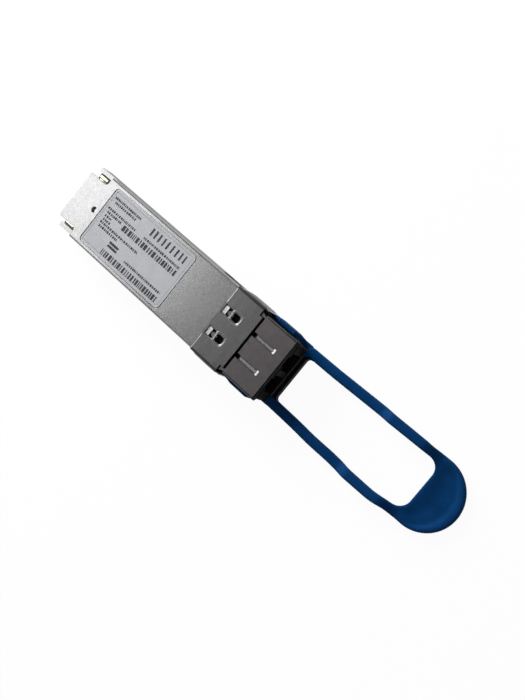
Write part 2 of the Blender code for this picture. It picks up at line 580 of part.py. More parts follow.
# Flexible circuits: thin film from the back of each optical assembly down to the card
for name, side in CHANNELS:
    film = bmesh.new()
    x_lift = X_CARD_FRONT - FLEX_LAND
    x_end = X_OPTICS_REAR - FIT
    z_land = Z_CARD_TOP + CHIP_STANDOFF
    z_end = max(z_land, Z_FIBRE + OPTICS_HEIGHT / 4)
    steps = 8
    line = []
    for index in range(steps + 1):
        share = index / steps
        x = x_lift + share * (x_end - x_lift)
        z = z_land + (z_end - z_land) * smooth_step(share, 0.35, 0.9)
        line.append(film.verts.new((x, side * Y_FIBRE - FLEX_WIDTH / 2, z)))
    edges = [film.edges.new(pair) for pair in zip(line, line[1:])]
    drawn = bmesh.ops.extrude_edge_only(film, edges=edges)["geom"]
    moved = [item for item in drawn if isinstance(item, bmesh.types.BMVert)]
    bmesh.ops.translate(film, verts=moved, vec=(0, FLEX_WIDTH, 0))
    bmesh.ops.recalc_face_normals(film, faces=film.faces)
    flex = mesh_object(name + "_flex", film, FLEX)
    wall = flex.modifiers.new("film", "SOLIDIFY")
    wall.thickness = FLEX_THICKNESS
    wall.offset = 0.0

# Latch slider: a bar below the port with an ear and tang each side, and an arm with a release wedge
corner = []
for index in range(7):
    turn = math.pi / 2 * index / 6
    corner.append((X_BAR_FRONT + EAR_FILLET - EAR_FILLET * math.sin(turn),
                   Y_EAR - EAR_FILLET + EAR_FILLET * math.cos(turn)))
x_leg = X_BAR_REAR + 2 * SLIDER_SHEET
half = [(X_BAR_REAR, Y_ARM_OUT), (x_leg, Y_ARM_OUT), (x_leg, Y_EAR_OUT),
        (X_EAR_FRONT, Y_EAR_OUT), (X_EAR_FRONT, Y_EAR)] + corner
outline = half + [(x, -y) for x, y in reversed(half)]
slider = plate("latch_slider", outline, BAR_BASE, Z_BAR_TOP, BLACK_METAL)
for name, side in SIDES:
    join(slider, side_block("slider_arm_" + name, side, (X_WEDGE, Y_ARM_IN, Z_ARM),
                            (X_BAR_REAR + SLIDER_SHEET, Y_ARM_OUT, Z_ARM_TOP)))
    join(slider, side_block("slider_leg_" + name, side, (X_BAR_REAR, Y_ARM_IN, BAR_BASE + LAP),
                            (X_BAR_REAR + 1.5 * SLIDER_SHEET, Y_ARM_OUT, Z_ARM_TOP - LAP)))
    join(slider, side_block("release_wedge_" + name, side, (X_WEDGE + LAP, Y_ARM_IN + LAP, Z_ARM + LAP),
                            (X_WEDGE + WEDGE_LENGTH, Y_BODY + WEDGE_PROUD, Z_ARM_TOP - LAP),
                            along=2, radius=WEDGE_PROUD))
    join(slider, side_block("spring_lug_" + name, side,
                            (X_LUG, Y_SPRING - SPRING_DIAMETER / 2, Z_SPRING - SPRING_DIAMETER / 2),
                            (X_LUG + LUG_LENGTH, Y_ARM_OUT - LAP / 2, Z_ARM + 2 * LAP)))
    join(slider, side_block("tang_" + name, side,
                            (X_EAR_FRONT - LAP, (Y_EAR + Y_EAR_OUT - TANG_WIDTH) / 2, Z_TANG),
                            (X_EAR_FRONT + TANG_LENGTH, (Y_EAR + Y_EAR_OUT + TANG_WIDTH) / 2,
                             Z_TANG + TANG_THICKNESS)))

# Return springs: each is squeezed between its lug on the slider and the end of its pocket
for name, side in SIDES:
    coil = bpy.data.curves.new("return_spring_" + name, "CURVE")
    coil.dimensions = "3D"
    coil.bevel_depth = SPRING_WIRE / 2
    coil.bevel_resolution = 1
    coil.use_fill_caps = True
    radius = (SPRING_DIAMETER - SPRING_WIRE) / 2
    per_turn = 9
    count = SPRING_TURNS * per_turn
    wire = coil.splines.new("POLY")
    wire.points.add(count)
    for index, point in enumerate(wire.points):
        turn = 2 * math.pi * index / per_turn
        x = X_SPRING_REAR + SPRING_WIRE / 2 + (SPRING_LENGTH - SPRING_WIRE) * index / count
        point.co = (x, side * Y_SPRING + radius * math.cos(turn), Z_SPRING + radius * math.sin(turn), 1.0)
    add_object("return_spring_" + name, coil, STEEL)

# Pull tab: two arms and a round pad in one moulding, with a boot over each slider arm
pad_radius = Y_TAB_WIDEST
x_pad = X_TAB_TIP - pad_radius
x_neck = x_leg + FIT
x_arm = X_EAR_FRONT + FIT
x_fall = X_LOOP_FRONT - HUMP_SETBACK
x_rise = x_fall - HUMP_LENGTH


def tab_lift(x):
    """How far the moulding stands above its rear end: up over a hump, then down to the pad."""
    rise = smooth_step(x, x_rise, x_rise + BEND_LENGTH)
    fall = smooth_step(x, x_fall, x_fall + 2 * BEND_LENGTH)
    return TAB_HUMP * rise - (TAB_HUMP + TAB_DROP) * fall


def between(x, start, end, first, last):
    return first + (last - first) * min(max((x - start) / (end - start), 0.0), 1.0)


def outer_edge(x):
    narrow = between(x, x_arm, x_arm + 2 * BAR_DEPTH, Y_NECK, Y_TAB)
    return max(narrow, between(x, x_arm, x_fall, Y_TAB, pad_radius))


def inner_edge(x):
    return between(x, x_arm, x_fall, Y_LOOP, Y_LOOP_WIDEST)


bends = [x_rise + BEND_LENGTH * step / 3 for step in range(4)]
bends += [x_fall + BEND_LENGTH * step / 3 for step in range(6)]
bends = [x for x in bends if x < x_pad]
outer = [(x_neck, Y_EAR_OUT + FIT), (x_neck, Y_NECK)]
for x in [x_arm, x_arm + 2 * BAR_DEPTH] + bends:
    outer.append((x, outer_edge(x)))
for index in range(13):
    turn = math.pi / 2 * (1 - index / 12)
    outer.append((x_pad + pad_radius * math.cos(turn), pad_radius * math.sin(turn)))
inner = []
for index in range(7):
    turn = math.pi / 2 * index / 6
    inner.append((X_LOOP_FRONT - LOOP_RADIUS + LOOP_RADIUS * math.cos(turn),
                  Y_LOOP_WIDEST - LOOP_RADIUS + LOOP_RADIUS * math.sin(turn)))
for x in reversed([x_arm] + [x for x in bends if x < X_LOOP_FRONT - LOOP_RADIUS]):
    inner.append((x, inner_edge(x)))
inner.append((x_arm, Y_EAR_OUT + FIT))
mirrored_outer = [(x, -y) for x, y in reversed(outer[:-1])]
mirrored_inner = [(x, -y) for x, y in inner]
outline = outer + mirrored_outer + mirrored_inner[::-1] + inner
tab = plate("pull_tab", outline, TAB_BASE, Z_TAB_TOP, BLUE)
for vertex in tab.data.vertices:
    vertex.co.z += tab_lift(vertex.co.x)
dish_radius = pad_radius - DISH_MARGIN
x_dish = max(X_LOOP_FRONT + DISH_MARGIN, x_pad)
reach = math.acos((x_dish - x_pad) / dish_radius)
dish = []
for index in range(17):
    turn = reach * (1 - index / 8)
    dish.append((x_pad + dish_radius * math.cos(turn), dish_radius * math.sin(turn)))
cut(tab, plate("dish", dish, Z_TAB_TOP - TAB_DROP - DISH_DEPTH, Z_TAB_TOP + TAB_THICKNESS))
for name, side in SIDES:
    x_boot = X_NOSE + RUN
    x_toe = x_arm + BAR_DEPTH
    y_toe = Y_EAR_OUT + 3 * FIT
    shoulder = Y_BOOT - Y_BOOT_IN
    sole = [(x_boot, Y_BOOT_IN), (x_boot + shoulder, Y_BOOT), (x_boot + BOOT_LENGTH, Y_BOOT),
            (x_neck - shoulder, Y_NECK), (x_toe, Y_NECK - LAP), (x_toe, y_toe),
            (x_neck, y_toe), (x_neck, Y_BOOT_IN)]
    sole = [(x, side * y) for x, y in sole]
    boot = plate("boot_" + name, sole, BOOT_BASE, Z_BOOT_TOP)
    slope = bmesh.new()
    slope.from_mesh(boot.data)
    foot = Vector((x_toe, 0, Z_TAB_TOP - LAP))
    head = Vector((x_boot + BOOT_LENGTH, 0, Z_BOOT_TOP))
    along = foot - head
    whole = slope.verts[:] + slope.edges[:] + slope.faces[:]
    sliced = bmesh.ops.bisect_plane(slope, geom=whole, plane_co=head,
                                    plane_no=(-along.z, 0, along.x), clear_outer=True)
    rim = [item for item in sliced["geom_cut"] if isinstance(item, bmesh.types.BMEdge)]
    bmesh.ops.edgeloop_fill(slope, edges=rim)
    bmesh.ops.recalc_face_normals(slope, faces=slope.faces)
    slope.to_mesh(boot.data)
    slope.free()
    join(tab, boot)
    cut(tab, side_block("tang_pocket_" + name, side,
                        (x_neck - LAP, (Y_EAR + Y_EAR_OUT - TANG_WIDTH) / 2 - FIT, Z_TANG - FIT),
                        (X_EAR_FRONT + TANG_LENGTH + FIT, (Y_EAR + Y_EAR_OUT + TANG_WIDTH) / 2 + FIT,
                         Z_TANG + TANG_THICKNESS + FIT)))
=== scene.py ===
import math
import random

import bmesh
import bpy
from mathutils import Matrix, Quaternion, Vector


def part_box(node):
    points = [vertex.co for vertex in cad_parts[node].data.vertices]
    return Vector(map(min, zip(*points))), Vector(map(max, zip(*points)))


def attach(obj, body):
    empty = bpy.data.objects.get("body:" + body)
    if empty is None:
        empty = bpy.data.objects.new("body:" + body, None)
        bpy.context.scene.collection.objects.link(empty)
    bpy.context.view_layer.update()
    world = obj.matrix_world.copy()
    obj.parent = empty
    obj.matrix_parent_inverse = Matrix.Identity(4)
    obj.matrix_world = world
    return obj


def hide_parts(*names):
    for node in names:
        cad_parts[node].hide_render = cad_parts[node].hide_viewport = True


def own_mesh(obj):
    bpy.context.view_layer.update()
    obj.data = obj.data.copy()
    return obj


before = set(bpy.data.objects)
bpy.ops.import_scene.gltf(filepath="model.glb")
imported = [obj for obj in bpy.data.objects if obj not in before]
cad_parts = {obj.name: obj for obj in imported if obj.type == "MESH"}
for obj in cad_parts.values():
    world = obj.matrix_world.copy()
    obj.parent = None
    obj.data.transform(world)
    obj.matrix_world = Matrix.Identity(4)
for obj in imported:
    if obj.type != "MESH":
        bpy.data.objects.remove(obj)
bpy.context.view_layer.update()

# Studio: a matt white table under a pale soft sky, which shows as a white wall near the horizon.
# A key lamp low behind the card end gives the matt light, one in front of it the sheen, and two more fill.
# The camera stands over the pull tab and looks back along the module, turned as in the photograph.
FLOOR_HALF = 30.0
FLOOR_DROP = 0.00004
FLOOR_COLOUR = (0.95, 0.95, 0.95, 1.0)
FLOOR_GLOW = 0.95
SKY_COLOUR = (0.97, 0.98, 1.0, 1.0)
SKY_STRENGTH = 0.235
WALL_COLOUR = (1.0, 1.0, 1.0, 1.0)
WALL_RISE = (0.24, 0.36)
KEY_DIRECTION = (-0.86, 0.25, 0.38)
KEY_SIDE = 0.32
CAMERA_PLACE = Vector((0.12456, 0.02782, 0.22924))
CAMERA_AIM = Vector((0.02908, 0.00122, 0.00425))
CAMERA_ROLL = math.radians(-65.34)
FOCAL_PIXELS = 1062.6
PICTURE_HEIGHT = 700
SENSOR = 36.0
CLIP_START = 0.01
MODULE_MIDDLE = Vector((0.0, 0.0, 0.004))


def show_when_seen(nodes, links, lighting, shown, output):
    """Show one shader to rays that are seen, directly, mirrored or through glass, and light with another.

    Returns the input that takes the share of the shown one, from 0 to 1.
    """
    rays = nodes.new("ShaderNodeLightPath")
    seen = rays.outputs["Is Camera Ray"]
    for kind in ("Is Glossy Ray", "Is Transmission Ray"):
        either = nodes.new("ShaderNodeMath")
        either.operation = "MAXIMUM"
        links.new(seen, either.inputs[0])
        links.new(rays.outputs[kind], either.inputs[1])
        seen = either.outputs[0]
    share = nodes.new("ShaderNodeMath")
    share.operation = "MULTIPLY"
    blend = nodes.new("ShaderNodeMixShader")
    links.new(seen, share.inputs[0])
    links.new(share.outputs[0], blend.inputs["Fac"])
    links.new(lighting.outputs[0], blend.inputs[1])
    links.new(shown.outputs[0], blend.inputs[2])
    links.new(blend.outputs[0], output.inputs["Surface"])
    return share.inputs[1]


shape = bmesh.new()
bmesh.ops.create_grid(shape, x_segments=1, y_segments=1, size=FLOOR_HALF)
bmesh.ops.translate(shape, verts=shape.verts, vec=(0, 0, -FLOOR_DROP))
mesh = bpy.data.meshes.new("table")
shape.to_mesh(mesh)
shape.free()
table = bpy.data.objects.new("table", mesh)
bpy.context.scene.collection.objects.link(table)

table_finish = bpy.data.materials.new("white_table")
table_finish.use_nodes = True
nodes, links = table_finish.node_tree.nodes, table_finish.node_tree.links
nodes.remove(nodes["Principled BSDF"])
matt = nodes.new("ShaderNodeBsdfDiffuse")
matt.inputs["Color"].default_value = FLOOR_COLOUR
glow = nodes.new("ShaderNodeEmission")
share = show_when_seen(nodes, links, matt, glow, nodes["Material Output"])
share.default_value = FLOOR_GLOW
mesh.materials.append(table_finish)

sky = bpy.data.worlds.new("pale_sky")
sky.use_nodes = True
nodes, links = sky.node_tree.nodes, sky.node_tree.links
nodes["Background"].inputs["Color"].default_value = SKY_COLOUR
nodes["Background"].inputs["Strength"].default_value = SKY_STRENGTH
wall = nodes.new("ShaderNodeBackground")
wall.inputs["Color"].default_value = WALL_COLOUR
wall.inputs["Strength"].default_value = FLOOR_GLOW
way = nodes.new("ShaderNodeTexCoord")
height = nodes.new("ShaderNodeSeparateXYZ")
low = nodes.new("ShaderNodeMapRange")
low.interpolation_type = "SMOOTHSTEP"
low.inputs["From Min"].default_value = WALL_RISE[0]
low.inputs["From Max"].default_value = WALL_RISE[1]
low.inputs["To Min"].default_value = 1.0
low.inputs["To Max"].default_value = 0.0
links.new(way.outputs["Generated"], height.inputs["Vector"])
links.new(height.outputs["Z"], low.inputs["Value"])
share = show_when_seen(nodes, links, nodes["Background"], wall, nodes["World Output"])
links.new(low.outputs["Result"], share)
bpy.context.scene.world = sky


def softbox(name, direction, distance, side, power):
    """A square lamp that faces the module from a direction."""
    data = bpy.data.lights.new(name, "AREA")
    data.shape = "SQUARE"
    data.size = side
    data.energy = power
    lamp = bpy.data.objects.new(name, data)
    bpy.context.scene.collection.objects.link(lamp)
    away = Vector(direction).normalized()
    lamp.location = MODULE_MIDDLE + away * distance
    lamp.rotation_euler = away.to_track_quat("Z", "Y").to_euler()
    return lamp


softbox("key_light", KEY_DIRECTION, distance=0.6, side=KEY_SIDE, power=7.0).visible_glossy = False
softbox("key_sheen", KEY_DIRECTION, distance=0.59, side=KEY_SIDE, power=1.3).visible_diffuse = False
softbox("card_end_softbox", (-0.63, -0.07, 0.78), distance=0.6, side=0.16, power=0.27)
softbox("overhead_fill", (0.25, 0.30, 0.92), distance=0.9, side=0.5, power=0.3)

lens = bpy.data.cameras.new("camera")
lens.sensor_fit = "AUTO"
lens.sensor_width = SENSOR
lens.lens = SENSOR * FOCAL_PIXELS / PICTURE_HEIGHT
lens.clip_start = CLIP_START
camera = bpy.data.objects.new("camera", lens)
bpy.context.scene.collection.objects.link(camera)
camera.location = CAMERA_PLACE
camera.rotation_mode = "QUATERNION"
aim = (CAMERA_AIM - CAMERA_PLACE).to_track_quat("-Z", "Y")
camera.rotation_quaternion = aim @ Quaternion((0, 0, 1), CAMERA_ROLL)
bpy.context.scene.camera = camera
bpy.context.scene.view_settings.view_transform = "Standard"

# Heat-sink side shell: the lower half of the housing, an open tray with the nose at its front end.
# It is a nickel-plated die casting with tumbled edges. Its sides are rougher, and they and the tops
# of its nose walls are a darker copy of the metal, painted shade. The set-in nose walls and the gap
# behind them are painted black as shade, and in front the walls are set in below a lip to clear the boots
# of the pull tab.
TOUCH = 0.00001
MERGE = 0.000001
FLAT = math.radians(1)
SHARP = math.radians(50)
PATCH_DETAIL = 6.0
PATCH_ROUGHNESS = 0.65
GRAIN_DETAIL = 4.0
NOISE_SPAN = (0.3, 0.7)
CAST_EDGE = 0.00012
RELIEF_LENGTH = 0.00105
RECESS_STATIONS = (0.0324, 0.0329)
LIP_HEIGHTS = (0.0073, 0.0069)
RECESS_WALL = 0.00778


def cloudy(nodes, links, size, stretch, detail):
    """A noise whose patches have a size, drawn out along the axes by stretch."""
    place = nodes.new("ShaderNodeTexCoord")
    scale = nodes.new("ShaderNodeMapping")
    scale.inputs["Scale"].default_value = [1 / (size * axis) for axis in stretch]
    links.new(place.outputs["Object"], scale.inputs["Vector"])
    noise = nodes.new("ShaderNodeTexNoise")
    noise.inputs["Scale"].default_value = 1.0
    noise.inputs["Detail"].default_value = detail
    links.new(scale.outputs["Vector"], noise.inputs["Vector"])
    return noise


def surface(name, dark, light, patch, rough, grain, depth, stretch=(1, 1, 1), **sockets):
    """A finish whose colour drifts between two shades, with its own roughness and a fine relief.

    patch and grain are the sizes of the colour patches and of the relief, and stretch draws both out.
    """
    made = bpy.data.materials.new(name)
    made.use_nodes = True
    nodes, links = made.node_tree.nodes, made.node_tree.links
    shader = nodes["Principled BSDF"]
    patches = cloudy(nodes, links, patch, stretch, PATCH_DETAIL)
    patches.inputs["Roughness"].default_value = PATCH_ROUGHNESS
    ramp = nodes.new("ShaderNodeValToRGB")
    for element, position, shade in zip(ramp.color_ramp.elements, NOISE_SPAN, (dark, light)):
        element.position = position
        element.color = (*shade, 1.0)
    links.new(patches.outputs["Fac"], ramp.inputs["Fac"])
    links.new(ramp.outputs["Color"], shader.inputs["Base Color"])
    fine = cloudy(nodes, links, grain, stretch, GRAIN_DETAIL)
    gloss = nodes.new("ShaderNodeMapRange")
    gloss.inputs["From Min"].default_value = NOISE_SPAN[0]
    gloss.inputs["From Max"].default_value = NOISE_SPAN[1]
    gloss.inputs["To Min"].default_value = rough[0]
    gloss.inputs["To Max"].default_value = rough[1]
    links.new(fine.outputs["Fac"], gloss.inputs["Value"])
    links.new(gloss.outputs["Result"], shader.inputs["Roughness"])
    relief = nodes.new("ShaderNodeBump")
    relief.inputs["Distance"].default_value = depth
    links.new(fine.outputs["Fac"], relief.inputs["Height"])
    links.new(relief.outputs["Normal"], shader.inputs["Normal"])
    for socket, value in sockets.items():
        shader.inputs[socket.replace("_", " ")].default_value = value
    return made


def add_piece(name, shape, finishes, body, stands_for=()):
    """Make a finished shape a piece that rides on a body, in place of the CAD solids it stands for."""
    mesh = bpy.data.meshes.new(name)
    shape.to_mesh(mesh)
    shape.free()
    if "custom_normal" in mesh.attributes:
        mesh.attributes.remove(mesh.attributes["custom_normal"])
    mesh.shade_smooth()
    mesh.set_sharp_from_angle(angle=SHARP)
    for finish in finishes:
        mesh.materials.append(finish)
    piece = bpy.data.objects.new(name, mesh)
    bpy.context.scene.collection.objects.link(piece)
    piece.modifiers.new("even_faces", "WEIGHTED_NORMAL").keep_sharp = True
    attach(piece, body)
    if stands_for:
        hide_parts(*stands_for)
    return piece


def whole_copy(node):
    """A CAD solid as one shape, with the triangles of each flat face joined."""
    shape = bmesh.new()
    shape.from_mesh(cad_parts[node].data)
    bmesh.ops.remove_doubles(shape, verts=shape.verts, dist=MERGE)
    bmesh.ops.dissolve_limit(shape, angle_limit=FLAT, verts=shape.verts, edges=shape.edges)
    return shape


def round_edges(shape, width, picked):
    """Round the outer corners of a shape whose middles are picked."""
    chosen = []
    for edge in shape.edges:
        corner = len(edge.link_faces) == 2 and edge.is_convex and edge.calc_face_angle() > SHARP
        if corner and picked((edge.verts[0].co + edge.verts[1].co) / 2):
            chosen.append(edge)
    bmesh.ops.bevel(shape, geom=chosen, offset=width, segments=2, profile=0.5,
                    affect="EDGES", material=-1, clamp_overlap=True)


def coat(shape, slot, picked):
    """Give the faces whose middles are picked another of the piece's finishes."""
    for face in shape.faces:
        if picked(face.calc_center_median()):
            face.material_index = slot


def cut_across(shape, place, facing, rear):
    """Cut the faces in front of a station with a plane, so that they can bend there."""
    front = [face for face in shape.faces if face.calc_center_median().x > rear]
    around = list({part for face in front for part in (*face.verts, *face.edges)})
    bmesh.ops.bisect_plane(shape, geom=front + around, dist=MERGE, plane_co=place, plane_no=facing)


def step_in(shape, station, wall):
    """Set the outer walls in below the lip of the nose, in front of a station."""
    for height in LIP_HEIGHTS:
        cut_across(shape, (0, 0, height), (0, 0, 1), station)
    for vertex in shape.verts:
        below_lip = vertex.co.x > station - TOUCH and vertex.co.z < LIP_HEIGHTS[1] + TOUCH
        if below_lip and abs(vertex.co.y) > wall:
            vertex.co.y = math.copysign(wall, vertex.co.y)


cast_metal = surface("cast_nickel", (0.345, 0.345, 0.345), (0.42, 0.42, 0.42),
                     patch=0.0011, rough=(0.24, 0.29), grain=0.00018, depth=0.000004, Metallic=1.0)
# A darker, rougher copy of the cast metal: painted shade on the side walls and the nose wall tops.
side_shade_metal = surface("side_shade_metal", (0.145, 0.145, 0.145), (0.21, 0.21, 0.21),
                    patch=0.0011, rough=(0.42, 0.52), grain=0.00018, depth=0.000008, Metallic=1.0)
# Black that stands in for the shade in gaps, wells and set-in walls: painted shade.
painted_black_shade = surface("painted_black_shade", (0.009, 0.009, 0.009), (0.015, 0.015, 0.015),
                     patch=0.0006, rough=(0.6, 0.8), grain=0.0001, depth=0.000006, Specular_IOR_Level=0.1)
base_low, base_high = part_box("housing_base")
nose_low, nose_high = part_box("nose_cover")
collar_low, collar_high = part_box("emi_collar")
shape = whole_copy("housing_base")
for station in RECESS_STATIONS:
    cut_across(shape, (station, 0, 0), (1, 0, 0), collar_high.x)
step_in(shape, RECESS_STATIONS[1], RECESS_WALL)
round_edges(shape, CAST_EDGE,
            lambda at: at.z < TOUCH or at.x < base_low.x + TOUCH or at.x > base_high.x - TOUCH
            or at.z > base_high.z - TOUCH or abs(at.y) > base_high.y - TOUCH)
gap_rear = collar_high.x - RELIEF_LENGTH
gap_front = collar_high.x + RELIEF_LENGTH / 2
wall_top = nose_high.z - 2 * CAST_EDGE
# Painted shade: the gap behind the nose and the set-in nose walls are black.
coat(shape, 1, lambda at: gap_rear < at.x < gap_front and abs(at.y) < nose_high.y)
coat(shape, 1, lambda at: at.x > gap_front and abs(at.y) > RECESS_WALL - TOUCH)
# Painted shade: the side walls and the nose wall tops take the darker copy of the metal.
coat(shape, 2, lambda at: at.x > gap_front and abs(at.y) > nose_high.y and at.z > wall_top)
coat(shape, 2, lambda at: abs(at.y) > base_high.y - TOUCH)
add_piece("base_shell", shape, [cast_metal, painted_black_shade, side_shade_metal], "module", ["housing_base"])

# Card: the green circuit board that ends in the host's socket, with gold-plated contacts on both faces.
# Its chips, crystal and inductor are moulded or canned packages, and soft grey pads carry their heat away.
CONTACTS = 19
CONTACT_PITCH = 0.0008
CONTACT_WIDTH = 0.00054
CONTACT_LENGTH = 0.0029
CONTACT_THICKNESS = 0.00003
CONTACT_CORNER = 0.00012
CONTACT_SETBACK = 0.0002
SHORT_SETBACK = 0.0006
LONG_EVERY = 3
NEARLY_ALL = 0.9

solder_mask = surface("green_solder_mask", (0.012, 0.050, 0.036), (0.022, 0.075, 0.052),
                      patch=0.003, rough=(0.3, 0.42), grain=0.0004, depth=0.000006)
gold = surface("gold_plating", (0.86, 0.74, 0.50), (0.94, 0.84, 0.62),
               patch=0.0006, rough=(0.2, 0.32), grain=0.0001, depth=0.000003, Metallic=1.0)
package = surface("black_package", (0.020, 0.020, 0.022), (0.040, 0.040, 0.043),
                  patch=0.0008, rough=(0.45, 0.6), grain=0.0001, depth=0.000006)
can_steel = surface("bright_steel", (0.52, 0.52, 0.53), (0.66, 0.66, 0.67),
                    patch=0.0008, rough=(0.22, 0.32), grain=0.0002, depth=0.000004, stretch=(8, 1, 1),
                    Metallic=1.0)
heat_pad = surface("grey_heat_pad", (0.30, 0.31, 0.33), (0.40, 0.41, 0.43),
                   patch=0.0009, rough=(0.75, 0.9), grain=0.00025, depth=0.00002)


def dress(node, finish):
    """Give a CAD solid whose shape is right its finish."""
    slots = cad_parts[node].data.materials
    slots.clear()
    slots.append(finish)


def upright_edges(shape):
    """The edges of a shape that stand along Z."""
    chosen = []
    for edge in shape.edges:
        run = edge.verts[1].co - edge.verts[0].co
        if abs(run.z) > NEARLY_ALL * run.length:
            chosen.append(edge)
    return chosen


def add_block(shape, middle, size):
    """Add a block to a shape."""
    bmesh.ops.create_cube(shape, size=1.0, matrix=Matrix.LocRotScale(middle, None, size))


dress("paddle_card", solder_mask)
for chip in ("driver_chip", "amplifier_chip", "controller_chip", "retimer_chip", "power_inductor"):
    dress(chip, package)
dress("clock_crystal", can_steel)
for pad in ("thermal_pad_retimer", "thermal_pad_transmit", "thermal_pad_receive"):
    dress(pad, heat_pad)

card_low, card_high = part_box("paddle_card")
shape = bmesh.new()
for face_height, outward in ((card_high.z, 1), (card_low.z, -1)):
    for index in range(CONTACTS):
        setback = CONTACT_SETBACK if index % LONG_EVERY == 0 else SHORT_SETBACK
        length = CONTACT_LENGTH - setback
        middle = Vector((card_low.x + setback + length / 2, (index - (CONTACTS - 1) / 2) * CONTACT_PITCH,
                         face_height + outward * CONTACT_THICKNESS / 2))
        add_block(shape, middle, Vector((length, CONTACT_WIDTH, CONTACT_THICKNESS)))
bmesh.ops.bevel(shape, geom=upright_edges(shape), offset=CONTACT_CORNER,
                segments=2, profile=0.5, affect="EDGES", material=-1)
add_piece("card_contacts", shape, [gold], "module")

# Optical assemblies: two canned boxes whose barrels meet the port, each joined to the card by amber film.
# A white ceramic sleeve in each port bay lines up the fibre.
amber = surface("amber_film", (0.30, 0.13, 0.02), (0.42, 0.20, 0.04),
                patch=0.0015, rough=(0.25, 0.35), grain=0.0004, depth=0.000004)
ceramic = surface("white_ceramic", (0.76, 0.75, 0.72), (0.84, 0.83, 0.80),
                  patch=0.0008, rough=(0.3, 0.4), grain=0.0002, depth=0.000002)
for channel in ("transmit", "receive"):
    dress(channel + "_optics", can_steel)
    dress(channel + "_flex", amber)
    dress("sleeve_" + channel, ceramic)

# Fibre port: one black moulded block with two square bays and a latch slot over each.
# The mouths of the bays are rounded to lead the plug in, and its flange is set in as the nose walls are.
PORT_EDGE = 0.0002
black_plastic = surface("black_plastic", (0.0058, 0.0058, 0.0066), (0.0088, 0.0088, 0.0100),
                        patch=0.0012, rough=(0.5, 0.65), grain=0.00015, depth=0.000008,
                        Specular_IOR_Level=0.04)
port_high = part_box("lc_receptacle")[1]
shape = whole_copy("lc_receptacle")
step_in(shape, base_high.x, RECESS_WALL)
round_edges(shape, PORT_EDGE, lambda at: at.x > port_high.x - TOUCH)
add_piece("port_block", shape, [black_plastic], "module", ["lc_receptacle"])

# Label side shell: the lid of the housing, cast as the tray is, with a tongue over the card edge.
# A steel pin locates it, and a rubber cord in each side wall seals the split.
# Two ramped catches at its front hold the shield collar. The wells round them and its front end are
# painted black, as painted shade.
CATCH_FALL = 0.00020
CATCH_RISE = 0.0001
CATCH_HALF = 0.0009
CATCH_LEAD = 0.00025
SKIN = 0.0003
WELL_REACH = 0.0062
rubber = surface("gasket_rubber", (0.05, 0.05, 0.05), (0.09, 0.09, 0.09),
                 patch=0.0006, rough=(0.7, 0.85), grain=0.0002, depth=0.00001)
dress("locating_pin", can_steel)
for side in ("left", "right"):
    dress("gasket_" + side, rubber)

cover_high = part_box("housing_cover")[1]
label_low, label_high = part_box("label_plate")
shape = whole_copy("housing_cover")
for vertex in shape.verts:
    if vertex.co.z > cover_high.z - TOUCH and collar_low.x < vertex.co.x < collar_low.x + CATCH_HALF:
        vertex.co.z -= CATCH_FALL
        vertex.co.x -= CATCH_LEAD
    elif vertex.co.z > cover_high.z - TOUCH:
        vertex.co.z += CATCH_RISE
round_edges(shape, CAST_EDGE,
            lambda at: at.z > label_low.z - SKIN and at.x < collar_low.x + 2 * CATCH_HALF)
# Painted shade: the cover's front end over the gap and the wells round the catches are black.
coat(shape, 1, lambda at: at.x > gap_rear
     or (collar_low.x < at.x < collar_low.x + WELL_REACH and at.z < collar_high.z - 2 * SKIN))
# Painted shade: the side walls take the darker copy of the metal.
coat(shape, 2, lambda at: abs(at.y) > base_high.y - TOUCH)
finishes = [cast_metal, painted_black_shade, side_shade_metal]
add_piece("cover_shell", shape, finishes, "module", ["housing_cover"])

# Label: a silver polyester film stuck into a shallow recess, with a pressed border line that is painted
# darker, as painted shade.
# Plain bars and stripes are printed on it in grey ink. A row below is where they start and end, from the
# film's rear end, and how far they lie from its middle line.
LABEL_CORNER = 0.0009
LABEL_EDGE = 0.00002
BORDER_INSET = 0.00055
BORDER_WIDTH = 0.00010
BORDER_DEPTH = 0.00002
INK_THICKNESS = 0.000012
PRINT_SEED = 7
TICK_HEIGHT = 0.0006
TICK_WIDTHS = (0.00022, 0.00060)
TICK_GAPS = (0.00014, 0.00030)
TICK_ROWS = ((0.0011, 0.0107, 0.0059), (0.0019, 0.0096, 0.0049), (0.0011, 0.0113, 0.0029),
             (0.0146, 0.0275, 0.0030), (0.0017, 0.0069, 0.0019), (0.0017, 0.0041, 0.0009),
             (0.0019, 0.0047, -0.0001), (0.0017, 0.0157, -0.0010), (0.0019, 0.0091, -0.0020),
             (0.0143, 0.0275, -0.0046))
STRIPE_HEIGHT = 0.0015
STRIPE_WIDTHS = (0.00020, 0.00095)
STRIPE_GAPS = (0.00022, 0.00048)
STRIPE_ROWS = ((0.0080, 0.0275, 0.0014), (0.0072, 0.0278, -0.0064))
BLOCK_HEIGHT = 0.0021
BLOCK_WIDTHS = (0.00045, 0.00060)
BLOCK_GAPS = (0.00070, 0.00110)
BLOCK_ROW = (0.0152, 0.0275, 0.0054)
PLAIN_START = 0.0076
PLAIN_LENGTH = 0.0034
PLAIN_ROWS = (-0.0034, -0.0043)

film = surface("silver_film", (0.40, 0.41, 0.43), (0.46, 0.47, 0.495),
               patch=0.004, rough=(0.4, 0.5), grain=0.0003, depth=0.000003, Metallic=0.05)
# A darker copy of the film: painted shade in the pressed border line.
border = surface("border_line_shade", (0.28, 0.28, 0.29), (0.34, 0.34, 0.35),
                 patch=0.002, rough=(0.4, 0.5), grain=0.0003, depth=0.000003, Metallic=0.2)
ink = surface("grey_ink", (0.025, 0.025, 0.03), (0.045, 0.045, 0.05),
              patch=0.0008, rough=(0.5, 0.6), grain=0.0002, depth=0.000001)

